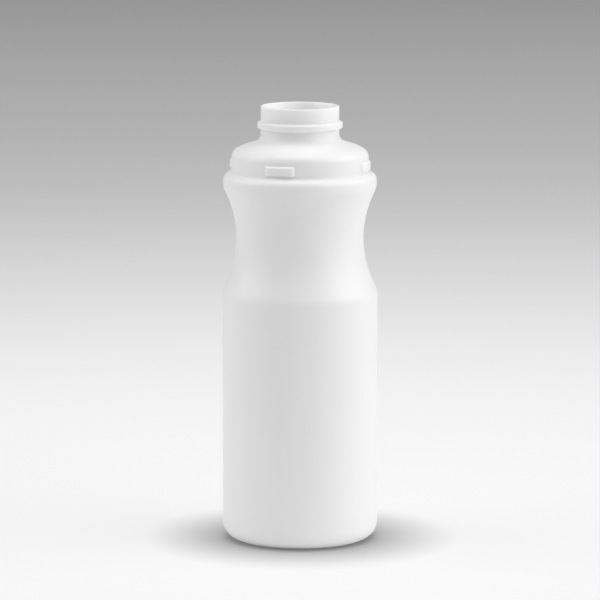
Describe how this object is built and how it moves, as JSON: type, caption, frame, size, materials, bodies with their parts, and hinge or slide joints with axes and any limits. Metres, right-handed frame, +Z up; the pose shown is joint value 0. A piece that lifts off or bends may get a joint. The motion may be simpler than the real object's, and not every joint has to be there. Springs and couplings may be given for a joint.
{
  "type": "sponge applicator bottle",
  "caption": "Round white blow-moulded bottle with a waisted grip, a closure ring, lugs on its shoulder and a plain snap neck for a sponge applicator head.",
  "frame": {"origin": "centre of the foot, on the surface the bottle stands on", "axes": "+Z up the bottle's axis to its mouth; one of the four lugs faces between -Y and -X, 17 degrees from -Y"},
  "size_m": [0.05, 0.05, 0.1403],
  "materials": {
    "hdpe_white": "blow-moulded natural satin, slightly translucent white HDPE"
  },
  "bodies": {
    "root": {"bottle": "hdpe_white"}
  },
  "joints": []
}
